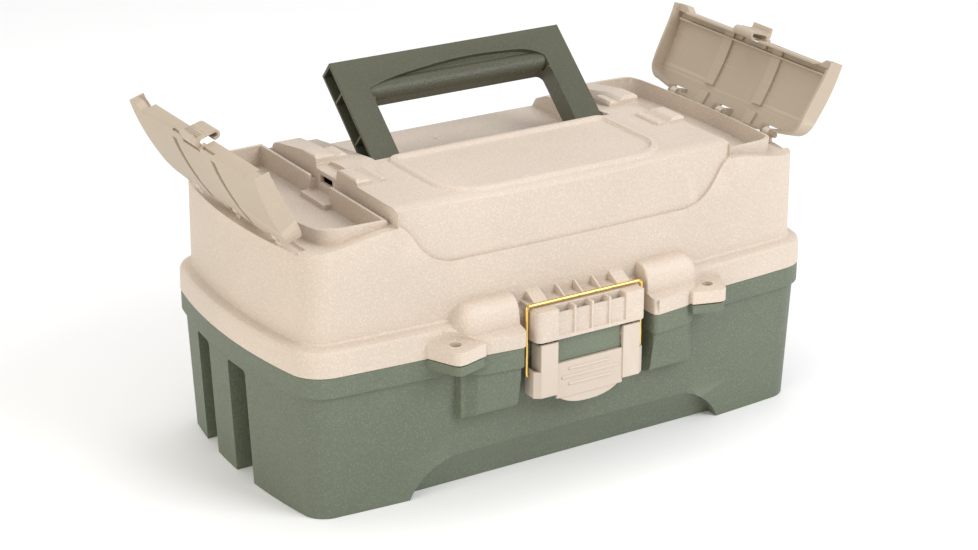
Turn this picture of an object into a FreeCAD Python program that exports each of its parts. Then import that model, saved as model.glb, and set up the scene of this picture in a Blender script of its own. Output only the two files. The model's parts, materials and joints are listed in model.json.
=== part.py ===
import FreeCAD, Part
import math
import os

# Fishing tackle box: a deep green base, a cream lid with a storage bin under a
# lift-up door at each end, a fold-down carry handle, a wire bail latch, and two
# trays that rise out of the base as the lid opens.
# X is the length, the front faces -Y, and Z = 0 is the surface the feet rest on.

V = FreeCAD.Vector
X_AXIS = V(1, 0, 0)
Y_AXIS = V(0, 1, 0)
Z_AXIS = V(0, 0, 1)
SIDES = {"left": -1, "right": 1}

# ---- plan outline: four bowed sides joined by round corners ----
HALF_LENGTH = 206.5      # outside of the rim band, at the middle of each end
HALF_DEPTH = 107.5       # outside of the rim band, at the middle of each long side
END_BOW = 14.5           # how far an end curves back by the corners
SIDE_BOW = 10.3          # how far a long side curves back by the corners
CORNER = 24.0

# ---- heights ----
PARTING = 101.0          # where lid and base meet
SEAM = 0.2
BAND_BOTTOM = 87.0       # green rim band
FLOOR = 3.0
LID_BAND_TOP = 117.0     # cream rim band
WALL_START = 121.5
ROOF = 200.0             # top of the middle of the lid
SHOULDER_HIGH = 188.5    # ledge under a door, beside the middle section
SHOULDER_LOW = 180.5     # the same ledge at the end wall
HINGE_SHELF = 178.3      # top of the end wall between a door's hinge hooks
BIN_FLOOR = 178.0
BIN_RIM = 192.5

# ---- insets from the rim band outline ----
WALL_INSET = 8.3
WALL_TOP_INSET = 9.2
BASE_TOP_INSET = 3.3
BASE_FOOT_INSET = 7.2
WALL = 2.6

# ---- middle section of the lid ----
MIDDLE_HALF = 128.0
WELL_HALF = 92.6
WELL_FLOOR = 179.3
WELL_FRONT = -2.2

# ---- carry handle ----
HANDLE_PIVOT = V(0, 6.4, 188.3)
HANDLE_LEAN = 48.6       # degrees back from upright, as it rests
HANDLE_HALF = 91.0
HANDLE_LEG = 21.0
HANDLE_REACH = 82.4      # from the pivot to the top edge
HANDLE_THICK = 16.0
GRIP_DEPTH = 30.0
STUB_RADIUS = 4.0

# ---- end doors ----
DOOR_HINGE_X = 191.0
DOOR_HINGE_Z = 184.5
DOOR_EDGE = 130.4        # tips of the side walls
FREE_EDGE = 133.9        # face of the free edge between them
DOOR_INSET = 12.3
DOOR_WALL = 2.2
DOOR_OPEN = {"left": 107.9, "right": 107.9}   # degrees, as they stand at rest
CATCH_PIVOT = (134.4, 197.4)    # (x, z) with the door shut
CATCH_SEAT = 12.4
BIN_START = 131.5        # wall of the bin nearest the middle section
CATCH_SHELF = 181.8      # small shelf under the catch
NOTCH_FLOOR = 196.3      # dip in the roof in front of the catch
HOOK_PLACES = (-55.0, 0.0, 55.0)
HOOK_WIDTH = 6.0
POCKET_WIDTH = 17.0
BAR_RADIUS = 2.0

GROOVES = (-28.0, 28.0)         # y of the two long grooves
GROOVE_DEEP = ((138.0, 175.4), (183.4, 190.0))   # x spans, apart over the bin's rim

# ---- wire bail latch ----
LEVER_PIVOT = V(0, -115.3, 92.5)
BAIL_PIVOT = V(0, -112.0, 76.0)
BAIL_TOP = 124.3
WIRE_RADIUS = 1.3
BAIL_HALF = 44.6
BLOCK_HALF = 42.6
BLOCK_TOP = 122.4
PADLOCK_EYE = (98.3, -112.7)    # (x, y) of the right-hand eye
EYE_RADIUS = 4.0

# ---- lid hinge and tray linkage (side view positions) ----
LID_AXIS = V(0, 112.8, 101.0)
HINGE_CENTRES = (-110.0, 110.0)
PIN_RADIUS = 1.9
KNUCKLE_RADIUS = 4.6
FIT = 0.06
ARM_LENGTH = 75.0
ARM_START = 6.0          # degrees above level with the lid shut
ARM_OFFSET = V(0, -70.0, -10.0)
RIVET_RADIUS = 2.0
ARM_PLANE = (178.5, 181.0)
ARM_WIDTH = 12.0
LID_BOSSES = ((46.0, 199.3), (65.0, 202.0))   # distance from the lid axis, wall |x|
LOWER_HALF = 176.0
UPPER_HALF = 171.5
TRAY_WALL = 1.8
TRAY_FRONT = -90.0
TRAY_BACK = 46.0
LOWER_TRAY = (51.0, 72.0)
UPPER_TRAY = (76.0, 97.0)


# ---------------------------------------------------------------- helpers
def outline(inset, z, corner=CORNER, half_x=HALF_LENGTH, half_y=HALF_DEPTH,
            end_bow=END_BOW, side_bow=SIDE_BOW):
    """Closed wire of the bowed plan outline, moved inward by inset."""
    side_r = (half_x ** 2 + side_bow ** 2) / (2 * side_bow)
    end_r = (half_y ** 2 + end_bow ** 2) / (2 * end_bow)
    side_c = V(0, side_r - half_y, 0)
    end_c = V(end_r - half_x, 0, 0)
    # centre of the front left corner arc: tangent inside both big circles
    a = side_r - corner
    b = end_r - corner
    gap = end_c - side_c
    d = gap.Length
    along = (a * a - b * b + d * d) / (2 * d)
    off = math.sqrt(a * a - along * along)
    u = V(gap).multiply(1 / d)
    middle = side_c + V(u).multiply(along)
    options = [middle + V(-u.y, u.x, 0).multiply(s * off) for s in (1, -1)]
    c = min(options, key=lambda p: p.x + p.y)
    on_side = side_c + (c - side_c).normalize().multiply(side_r - inset)
    on_end = end_c + (c - end_c).normalize().multiply(end_r - inset)
    bulge = ((c - side_c).normalize() + (c - end_c).normalize()).normalize()
    on_corner = c + bulge.multiply(corner - inset)

    def at(p, sx, sy):
        return V(sx * p.x, sy * p.y, z)

    def arc(p, q, r):
        return Part.Arc(p, q, r).toShape()

    end_mid = V(-(half_x - inset), 0, z)
    side_mid = V(0, -(half_y - inset), z)
    edges = [
        arc(at(on_end, 1, -1), end_mid, at(on_end, 1, 1)),
        arc(at(on_end, 1, 1), at(on_corner, 1, 1), at(on_side, 1, 1)),
        arc(at(on_side, 1, 1), side_mid, at(on_side, -1, 1)),
        arc(at(on_side, -1, 1), at(on_corner, -1, 1), at(on_end, -1, 1)),
        arc(at(on_end, -1, 1), V(-end_mid.x, 0, z), at(on_end, -1, -1)),
        arc(at(on_end, -1, -1), at(on_corner, -1, -1), at(on_side, -1, -1)),
        arc(at(on_side, -1, -1), V(0, -side_mid.y, z), at(on_side, 1, -1)),
        arc(at(on_side, 1, -1), at(on_corner, 1, -1), at(on_end, 1, -1)),
    ]
    return Part.Wire(edges)


def stack(sections, **shape):
    """Solid through outlines given as (z, inset) pairs, straight between them."""
    wires = [outline(inset, z, **shape) for z, inset in sections]
    return Part.makeLoft(wires, True, True)


def box(x0, x1, y0, y1, z0, z1):
    return Part.makeBox(x1 - x0, y1 - y0, z1 - z0, V(x0, y0, z0))


def rod(start, end, radius):
    axis = end - start
    return Part.makeCylinder(radius, axis.Length, start, axis)


def prism(points, direction):
    """Polygon through points, extruded along a vector."""
    wire = Part.makePolygon(list(points) + [points[0]])
    return Part.Face(wire).extrude(direction)


def across(points, x0, x1):
    """Side-view polygon of (y, z) points, extruded from x0 to x1."""
    return prism([V(x0, y, z) for y, z in points], V(x1 - x0, 0, 0))


def along_y(points, y0, y1):
    """Front-view polygon of (x, z) points, extruded from y0 to y1."""
    return prism([V(x, y0, z) for x, z in points], V(0, y1 - y0, 0))


def plan(points, z0, z1):
    """Plan polygon of (x, y) points, extruded from z0 to z1."""
    return prism([V(x, y, z0) for x, y in points], V(0, 0, z1 - z0))


def mirrored(points, side):
    return [(side * a, b) for a, b in points]


def fuse(shapes):
    return shapes[0].multiFuse(shapes[1:]).removeSplitter()


def curve_points(points, steps=5):
    """Points along a smooth curve through the given (a, b) pairs."""
    spline = Part.BSplineCurve()
    spline.interpolate([V(a, b, 0) for a, b in points])
    count = steps * (len(points) - 1)
    first, last = spline.FirstParameter, spline.LastParameter
    found = [spline.value(first + (last - first) * i / count) for i in range(count + 1)]
    return [(p.x, p.y) for p in found]


def export(name, shape):
    shape.exportStep("parts/%s.step" % name)
    print("%-22s solids %2d  valid %s  volume %9.0f" % (
        name, len(shape.Solids), shape.isValid(), shape.Volume))


# ---------------------------------------------------------------- base
SLOTS = ((-22.0, 2.0), (33.0, 55.0))       # channels in each end wall, along Y
SLOT_TOP = 82.0
SLOT_FACE = 187.0
ARCH_TOP = 28.5
FOOT_EDGE = 124.0


def arch_recess(facing, grow=0.0):
    """Space under the long arch between two feet; facing is -1 front, 1 back."""
    half = FOOT_EDGE + grow
    top = ARCH_TOP + grow
    rise = [(-half, -2.0), (-half + 2, 3.0 + grow), (-104.0 - grow, 21.0 + grow),
            (-82.0, top)]
    edge = curve_points(rise)
    shape = edge + [(-x, z) for x, z in reversed(edge)]
    under = along_y(shape, -130, 0)
    depth = across([(-130, -2), (-130, top + 1), (-103.5, top + 1), (-98 + grow, top - 4),
                    (-90 + grow, 12), (-86.5 + grow, -2)], -150, 150)
    space = under.common(depth)
    if facing > 0:
        space.rotate(V(0, 0, 0), Z_AXIS, 180)
    return space


def arched_slot(x0, x1, y0, y1):
    """Channel in an end wall, open below, with rounded upper corners."""
    slot = box(x0, x1, y0, y1, -1, SLOT_TOP)
    upper = [e for e in slot.Edges if min(v.Z for v in e.Vertexes) > SLOT_TOP - 1
             and abs(e.Vertexes[0].X - e.Vertexes[-1].X) > 1]
    return slot.makeFillet(3.0, upper)


def band_bulge(side, inset=0.0):
    """Plan points of the band's forward bulge beside the latch."""
    front = [(49.5 + inset, -117.5), (50.3 + inset, -120.4 + inset), (53.0, -121.8 + inset),
             (60.0, -121.0 + inset), (68.0, -120.1 + inset), (77.0, -119.0 + inset),
             (83.0, -117.2 + inset), (87.0 - inset / 2, -114.3 + inset),
             (91.0 - inset, -109.4 + inset / 2), (95.5 - inset, -106.2), (102.0 - inset, -104.6)]
    return mirrored(front + [(102.0 - inset, -99.0), (49.5 + inset, -99.0)], side)


def lug_outline(side, inset=0.0):
    return mirrored([(80.6, -101.5), (80.6 + inset, -121.6 + inset), (98.8, -126.9 + inset),
                     (102.4, -127.0 + inset), (104.8 - inset, -125.4 + inset),
                     (106.4 - inset, -122.6), (114.8 - inset, -104.6), (114.4 - inset, -101.5)],
                    side)


def eye_bores(z0, z1):
    x, y = PADLOCK_EYE
    return [rod(V(side * x, y, z0), V(side * x, y, z1), EYE_RADIUS) for side in SIDES.values()]


def base_tub():
    outer = stack([(0, BASE_FOOT_INSET), (BAND_BOTTOM - 1.5, BASE_TOP_INSET),
                   (BAND_BOTTOM, 0.4), (PARTING - SEAM, 0.4)])
    inner = stack([(FLOOR, BASE_FOOT_INSET + WALL),
                   (BAND_BOTTOM - 1.5, BASE_TOP_INSET + WALL),
                   (BAND_BOTTOM + 1.5, 0.4 + WALL), (PARTING + 2, 0.4 + WALL)])
    for side in SIDES.values():
        for y0, y1 in SLOTS:
            near, far = sorted((side * (SLOT_FACE - WALL), side * 230))
            inner = inner.cut(box(near, far, y0 - WALL, y1 + WALL, -1, SLOT_TOP + WALL))
    for facing in (-1, 1):
        inner = inner.cut(arch_recess(facing, WALL))
    tub = outer.cut(inner)
    for side in SIDES.values():
        for y0, y1 in SLOTS:
            near, far = sorted((side * SLOT_FACE, side * 230))
            tub = tub.cut(arched_slot(near, far, y0, y1))
    for facing in (-1, 1):
        tub = tub.cut(arch_recess(facing))

    extra = []
    for side in SIDES.values():
        # band bulge and pillar beside the latch, and the padlock lug outside them
        extra.append(plan(band_bulge(side, 0.6), BAND_BOTTOM, PARTING - SEAM))
        x0, x1 = sorted((side * 49.0, side * 91.0))
        pillar = across([(-100, 52), (-103.2, 53.5), (-112.5, 57.5), (-114.2, 60), (-118.3, 84),
                         (-118.6, BAND_BOTTOM + 1), (-100, BAND_BOTTOM + 1)], x0, x1)
        extra.append(pillar.common(plan(band_bulge(side, 2.6), 50, BAND_BOTTOM + 2)))
        extra.append(plan(lug_outline(side, 0.8), 94.4, PARTING - SEAM))
        # boss that carries the rivet of the tray arm
        y, z = arm_point("base")
        extra.append(rod(V(side * (ARM_PLANE[1] + 0.4), y, z), V(side * 203.0, y, z), 5.0))
    # latch boss seen through the window of the lever
    extra.append(box(-24.6, 24.6, -118.0, -103, 83.5, PARTING - SEAM))
    extra += hinge_knuckles("base")
    tub = fuse([tub] + extra)

    cuts = eye_bores(90, 110)
    cuts.append(rod(V(-30, LEVER_PIVOT.y, LEVER_PIVOT.z),
                    V(30, LEVER_PIVOT.y, LEVER_PIVOT.z), 2.5 + FIT))
    y, z = arm_point("base")
    cuts += [rod(V(side * 170, y, z), V(side * 188, y, z), RIVET_RADIUS)
             for side in SIDES.values()]
    cuts += hinge_bores(PIN_RADIUS)
    return tub.cut(Part.makeCompound(cuts))


def hinge_knuckles(part):
    """Knuckles at the rear; the base has the outer pair of each hinge."""
    spans = {"base": ((-30, -15), (15, 30)), "lid": ((-14.5, 14.5),)}[part]
    lean = 1 if part == "lid" else -1
    found = []
    for centre in HINGE_CENTRES:
        for x0, x1 in spans:
            barrel = rod(V(centre + x0, LID_AXIS.y, LID_AXIS.z),
                         V(centre + x1, LID_AXIS.y, LID_AXIS.z), KNUCKLE_RADIUS)
            z0, z1 = sorted((LID_AXIS.z + lean * SEAM, LID_AXIS.z + lean * KNUCKLE_RADIUS))
            web = box(centre + x0, centre + x1, 102.5, LID_AXIS.y, z0, z1)
            found += [barrel, web]
    return found


def hinge_bores(radius):
    return [rod(V(c - 31, LID_AXIS.y, LID_AXIS.z), V(c + 31, LID_AXIS.y, LID_AXIS.z),
                radius) for c in HINGE_CENTRES]


def lid_hinge_pins():
    return Part.makeCompound([
        rod(V(c - 29.5, LID_AXIS.y, LID_AXIS.z), V(c + 29.5, LID_AXIS.y, LID_AXIS.z),
            PIN_RADIUS) for c in HINGE_CENTRES])


# ---------------------------------------------------------------- lid
def roof_space(drop=0.0, half=MIDDLE_HALF):
    """Everything above the roof of the middle section, lowered by drop."""
    front = curve_points([(-99.5, 189.0), (-97.2, 196.0), (-90.0, 199.6), (-80.0, 200.0)])
    line = [(y + drop, z - drop) for y, z in front]
    line += [(2.0, ROOF - drop), (80.0, 191.0 - drop), (92.0 - drop, 186.0 - drop),
             (99.5 - drop, 176.0 - drop)]
    points = [(-140, 189.0 - drop)] + line + [(140, 176.0 - drop), (140, 240), (-140, 240)]
    return across(points, -half, half)


def shoulder_line(lift=0.0):
    """(x, z) line of the ledge beside a bin, from the middle section outward."""
    line = curve_points([(MIDDLE_HALF, SHOULDER_HIGH), (150, 185.6), (172, 181.4),
                         (186, SHOULDER_LOW)])
    return [(x, z + lift) for x, z in line] + [(230, SHOULDER_LOW + lift)]


def shoulder_space(side):
    """Everything above the ledge that a door's side walls stand on."""
    points = mirrored(shoulder_line() + [(230, 240), (MIDDLE_HALF, 240)], side)
    space = along_y(points, -140, 140)
    x0, x1 = sorted((side * 184.0, side * 230))
    return space.fuse(box(x0, x1, -78, 78, HINGE_SHELF, 240))


def bin_walls(side, inset, z0, z1):
    """Solid of the bin's plan outline between two heights, for one end."""
    whole = stack([(z0, inset + 1.2), (z1, inset)], corner=16.0, half_x=181.0,
                  half_y=89.5, end_bow=8.0, side_bow=5.5)
    x0, x1 = sorted((side * (BIN_START + inset), side * 230))
    return whole.common(box(x0, x1, -140, 140, z0, z1))


def step_recess():
    """Shallow recess of the upper front wall, with an S-shaped end each side."""
    curve = curve_points([(-127.7, 190.0), (-122.5, 186.0), (-115.5, 176.5), (-106, 166.0),
                          (-94.0, 161.0), (-82.0, 160.5)])
    shape = curve + [(-x, z) for x, z in reversed(curve)] + [(127.7, 230), (-127.7, 230)]
    front = along_y(shape, -130, -60)
    keep = stack([(150, WALL_INSET + 2.3), (235, WALL_TOP_INSET + 2.5)])
    return front.cut(keep)


def dome_section(x, top, front):
    """Closed (y, z) section of the dome at one x: rounded front, back in the wall."""
    low = 112.8
    depth = -98.0 - front
    turns = [math.radians(90 * i / 9) for i in range(10)]
    curve = [(-98.0 - depth * math.cos(t) ** 0.62, low + (top - low) * math.sin(t) ** 0.8)
             for t in turns]
    points = [V(x, y, z) for y, z in curve] + [V(x, -95.5, top), V(x, -95.5, low)]
    return Part.makePolygon(points + [points[0]])


def domes_and_lugs(side):
    """Domed boss beside the latch and the padlock lug outside it."""
    places = ((49.5, 130.9, -111.6), (50.1, 131.8, -112.5), (51.6, 132.3, -113.0),
              (83.0, 132.3, -113.0), (86.5, 131.3, -112.6), (89.2, 129.2, -111.6),
              (91.4, 125.8, -109.8), (93.0, 122.2, -107.4), (94.6, 117.6, -104.0))
    sections = [dome_section(side * x, top, front) for x, top, front in places]
    dome = Part.makeLoft(sections, True, True)
    x0, x1 = sorted((side * 49.0, side * 104.0))
    ledge = across([(-124, PARTING), (-124, 110.2), (-121.6, 111.5), (-113, 113.5), (-109, 115.1),
                    (-105, 117.3), (-101, 119.2), (-97, 120.6), (-97, PARTING)], x0, x1)
    band = plan(band_bulge(side), PARTING, 125).common(ledge)
    lug = plan(lug_outline(side), PARTING + 0.8, 110.7)
    return [dome, band, lug]


def catch_block():
    """Block that the wire bail hooks over, with its fins and pockets."""
    body = box(-BLOCK_HALF, BLOCK_HALF, -122, -100, PARTING, BLOCK_TOP)
    for side in SIDES.values():
        bevel = [(BLOCK_HALF - 2, BLOCK_TOP), (BLOCK_HALF, BLOCK_TOP - 2), (BLOCK_HALF + 2, BLOCK_TOP)]
        body = body.cut(along_y(mirrored(bevel, side), -130, -90))
    vertical = [e for e in body.Edges if abs(e.Vertexes[0].Z - e.Vertexes[-1].Z) > 10
                and e.Vertexes[0].Y < -110]
    body = body.makeFillet(5.0, vertical)
    pockets = []
    for x in (-20.2, -6.8, 6.8, 20.2):
        pockets.append(box(x - 5.8, x + 5.8, -130, -120.5, 103.6, 130))
        pockets.append(box(x - 5.8, x + 5.8, -121, -114.6, 119.2, 130))
        pockets.append(box(x - 5.2, x + 5.2, -119.0, -114.6, 108.0, 130))
    body = body.cut(Part.makeCompound(pockets))
    fins = []
    for x0, x1 in ((-37.5, -27), (-14.7, -13.2), (-0.75, 0.75), (13.2, 14.7), (27, 37.5)):
        fins.append(across([(-97, 118), (-110.2, 118), (-110.2, 124.5), (-100.5, 129.5),
                            (-97, 130)], x0, x1))
    seat = box(-BLOCK_HALF + 1, BLOCK_HALF - 1, -110.2, -97, 118, 123.6)
    return [body, seat] + fins


def finger_pads(side):
    """Two raised pads along the roof's edge, scooped on their inner side."""
    sides = {"front": ((-41.0, 196.0), (-41.0, 202.0), (-40.0, 203.2), (-38.0, 204.0),
                       (-17.5, 204.0), (-15.5, 203.2), (-14.5, 202.0), (-14.5, 196.0)),
             "rear": ((14.5, 194.0), (14.5, 202.0), (15.5, 203.2), (17.5, 204.0),
                      (32.0, 203.4), (70.0, 197.6), (75.0, 196.0), (78.0, 192.6),
                      (79.0, 186.0))}
    profile = curve_points([(MIDDLE_HALF, 202.9), (127.2, 203.9), (120.6, 204.0), (118.6, 203.4),
                            (115.6, 200.8), (112.4, 200.9), (109.6, 202.6), (107.4, 202.4),
                            (106.0, 199.5)], 3)
    rear_profile = curve_points([(MIDDLE_HALF, 202.9), (127.2, 203.9), (118.6, 204.0),
                                 (115.0, 203.2), (112.0, 200.6), (108.6, 194.0)], 3)
    found = []
    for name, line in (("front", profile), ("rear", rear_profile)):
        end_x = line[-1][0]
        x0, x1 = sorted((side * end_x, side * MIDDLE_HALF))
        shape = mirrored(line + [(end_x, 184), (MIDDLE_HALF, 184)], side)
        y0, y1 = sides[name][0][0], sides[name][-1][0]
        found.append(across(sides[name], x0, x1).common(along_y(shape, y0 - 1, y1 + 1)))
    # the rear pad has its scoop behind the notch only
    x0, x1 = sorted((side * 104.0, side * 113.5))
    found.append(across([(14.5, 196), (14.5, 201.0), (16.0, 202.4), (33.0, 202.0), (36.0, 200.0),
                         (37.0, 194)], x0, x1).common(
        along_y(mirrored([(104, 190), (104, 200.0), (105.4, 202.0), (108, 202.4),
                          (111, 201.0), (113.5, 200.7), (113.5, 190)], side), 14, 38)))
    return found


def catch_room(side):
    """Dip in the roof, slot in the wall and gap in the bin's wall, where the catch goes."""
    spans = ((117.5, MIDDLE_HALF + 1, -13.6, 13.6, NOTCH_FLOOR, 240),
             (MIDDLE_HALF, BIN_START + 4, -14.2, 14.2, CATCH_SHELF, 240),
             (MIDDLE_HALF - 4, MIDDLE_HALF + 1, -8.2, 8.2, 188.3, 193.2))
    found = []
    for a, b, y0, y1, z0, z1 in spans:
        x0, x1 = sorted((side * a, side * b))
        found.append(box(x0, x1, y0, y1, z0, z1))
    return found


def bin_room(side):
    """Inside of a bin, leaving the small shelf under the catch."""
    x0, x1 = sorted((side * MIDDLE_HALF, side * (BIN_START + 7.5)))
    shelf = box(x0, x1, -16.5, 16.5, BIN_FLOOR - 1, CATCH_SHELF)
    return bin_walls(side, 2.2, BIN_FLOOR, BIN_RIM + 5).cut(shelf)


def door_hooks(side):
    """Three hooks that a door's hinge bars turn in."""
    found = []
    for y in HOOK_PLACES:
        y0, y1 = y - HOOK_WIDTH / 2, y + HOOK_WIDTH / 2
        eye = rod(V(side * DOOR_HINGE_X, y0, DOOR_HINGE_Z),
                  V(side * DOOR_HINGE_X, y1, DOOR_HINGE_Z), BAR_RADIUS + 1.7)
        x0, x1 = sorted((side * (DOOR_HINGE_X - 3.7), side * (DOOR_HINGE_X + 1.0)))
        post = box(x0, x1, y0, y1, HINGE_SHELF - 2, DOOR_HINGE_Z)
        bore = rod(V(side * DOOR_HINGE_X, y0 - 1, DOOR_HINGE_Z),
                   V(side * DOOR_HINGE_X, y1 + 1, DOOR_HINGE_Z), BAR_RADIUS + FIT)
        found.append(eye.fuse(post).cut(bore))
    return found


def along_arm(reach):
    """(y, z) of a point on the lid arm, by its distance from the lid axis."""
    turn = math.radians(ARM_START)
    return LID_AXIS.y - reach * math.cos(turn), LID_AXIS.z + reach * math.sin(turn)


def arm_point(name):
    """(y, z) of a tray linkage pivot with the lid shut."""
    reach = {"upper": ARM_LENGTH, "lower": ARM_LENGTH / 2, "base": 0.0}
    kind, _, place = name.partition("_")
    y, z = along_arm(reach[kind])
    if place == "front" or kind == "base":
        y += ARM_OFFSET.y
        z += ARM_OFFSET.z
    return y, z


def lid_shell():
    outer = stack([(PARTING, 0), (LID_BAND_TOP - 1.5, 0.3), (LID_BAND_TOP + 1.2, 1.5),
                   (LID_BAND_TOP + 2.6, 4.0), (LID_BAND_TOP + 3.2, 7.0),
                   (WALL_START, WALL_INSET), (235, WALL_TOP_INSET + 0.3)])
    outer = outer.cut(step_recess()).cut(roof_space())
    for side in SIDES.values():
        outer = outer.cut(shoulder_space(side))
    inner = stack([(PARTING - 2, WALL), (LID_BAND_TOP - 3, WALL), (LID_BAND_TOP, 7.0),
                   (WALL_START + 1, WALL_INSET + WALL), (150, WALL_INSET + WALL + 0.2),
                   (156, 13.4), (235, 14.2)])
    low = inner.common(box(-230, 230, -140, 140, PARTING - 2, 175.5))
    high = inner.common(box(-125.4, 125.4, -140, 140, 175, 235)).cut(roof_space(WALL, 140))
    hollow = low.fuse(high)
    hollow = hollow.cut(box(-WELL_HALF - WALL, WELL_HALF + WALL, WELL_FRONT - WALL, 140,
                            WELL_FLOOR - WALL, 240))
    for side in SIDES.values():
        x0, x1 = sorted((side * 115.5, side * 140))
        hollow = hollow.cut(box(x0, x1, -16, 16, NOTCH_FLOOR - WALL, 240))
    shell = outer.cut(hollow)

    extra = []
    for side in SIDES.values():
        under_door = along_y(mirrored(door_roof(DOOR_WALL + 0.6) + [(230, 160), (MIDDLE_HALF - 5, 160),
                                      (MIDDLE_HALF - 5, 200)], side), -140, 140)
        extra.append(bin_walls(side, 0.0, HINGE_SHELF - 2, BIN_RIM).common(under_door))
        extra += domes_and_lugs(side)
        extra += door_hooks(side)
        extra += finger_pads(side)
        # bosses that the lid arm is riveted to
        for reach, wall_x in LID_BOSSES:
            y, z = along_arm(reach)
            extra.append(rod(V(side * ARM_PLANE[1], y, z), V(side * wall_x, y, z), 4.5))
    extra += catch_block()
    extra += hinge_knuckles("lid")
    # raised rounded frame of the label panel on the front half of the roof
    extra.append(panel_frame())
    shell = fuse([shell] + extra)

    cuts = [box(-WELL_HALF, WELL_HALF, WELL_FRONT, 140, WELL_FLOOR, 240)]
    for side in SIDES.values():
        cuts.append(bin_room(side))
        cuts += catch_room(side)
        cuts.append(rod(V(side * 88, HANDLE_PIVOT.y, HANDLE_PIVOT.z),
                        V(side * 99, HANDLE_PIVOT.y, HANDLE_PIVOT.z), STUB_RADIUS + FIT))
        for reach, wall_x in LID_BOSSES:
            y, z = along_arm(reach)
            cuts.append(rod(V(side * ARM_PLANE[0], y, z), V(side * 190, y, z), RIVET_RADIUS))
    cuts += eye_bores(90, 120)
    cuts += hinge_bores(PIN_RADIUS + FIT)
    for cut in cuts:
        shell = shell.cut(cut)
    return shell


def rounded_plate(x, y0, y1, z0, z1, radius):
    plate = box(-x, x, y0, y1, z0, z1)
    edges = [e for e in plate.Edges if abs(e.Vertexes[0].Z - e.Vertexes[-1].Z) > 0.1]
    return plate.makeFillet(radius, edges)


def panel_outline(x, y0, y1, z, front_radius, rear_radius):
    """Closed wire of a rectangle with wide front and small rear corners."""
    f, r = front_radius, rear_radius
    kf, kr = f * (1 - math.sqrt(0.5)), r * (1 - math.sqrt(0.5))

    def at(a, b):
        return V(a, b, z)

    def line(p, q):
        return Part.LineSegment(p, q).toShape()

    def arc(p, q, w):
        return Part.Arc(p, q, w).toShape()

    return Part.Wire([
        line(at(-x + f, y0), at(x - f, y0)),
        arc(at(x - f, y0), at(x - kf, y0 + kf), at(x, y0 + f)),
        line(at(x, y0 + f), at(x, y1 - r)),
        arc(at(x, y1 - r), at(x - kr, y1 - kr), at(x - r, y1)),
        line(at(x - r, y1), at(-x + r, y1)),
        arc(at(-x + r, y1), at(-x + kr, y1 - kr), at(-x, y1 - r)),
        line(at(-x, y1 - r), at(-x, y0 + f)),
        arc(at(-x, y0 + f), at(-x + kf, y0 + kf), at(-x + f, y0)),
    ])


def panel_frame():
    """Soft ridge round the plain panel on the front half of the roof."""
    def ring(grow, z):
        return panel_outline(84.5 + grow, -86.5 - grow, -5.0 + min(grow, 2.0), z,
                             26.0 + grow, 7.0 + grow)
    raised = Part.makeLoft([ring(3.6, ROOF - 0.6), ring(2.9, ROOF + 0.4), ring(1.4, ROOF + 1.9),
                            ring(0.0, ROOF + 2.2)], True, True)
    field = Part.makeLoft([ring(-4.6, ROOF - 0.1), ring(-4.0, ROOF + 0.5), ring(-2.6, ROOF + 2.0),
                           ring(-2.2, ROOF + 6)], True, True)
    return raised.cut(field)


# ---------------------------------------------------------------- doors
def door_roof(drop=0.0, reach=0.0):
    """(x, z) line of the shut door's top, from its free edge to its hinge end."""
    line = curve_points([(DOOR_EDGE, 199.4), (146, 198.9), (162, 196.6), (178, 192.8),
                         (189, 189.2), (195.5, 186.2), (200, 183.6)], 16)
    return [(x + reach, z - drop) for x, z in line]


def groove(y, half, above, below, span):
    """Strip that follows the door's top line between two x places."""
    top = [(x, z) for x, z in door_roof(above) if span[0] < x < span[1]]
    low = [(x, z) for x, z in door_roof(below) if span[0] < x < span[1]]
    return along_y(top + low[::-1], y - half, y + half)


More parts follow.
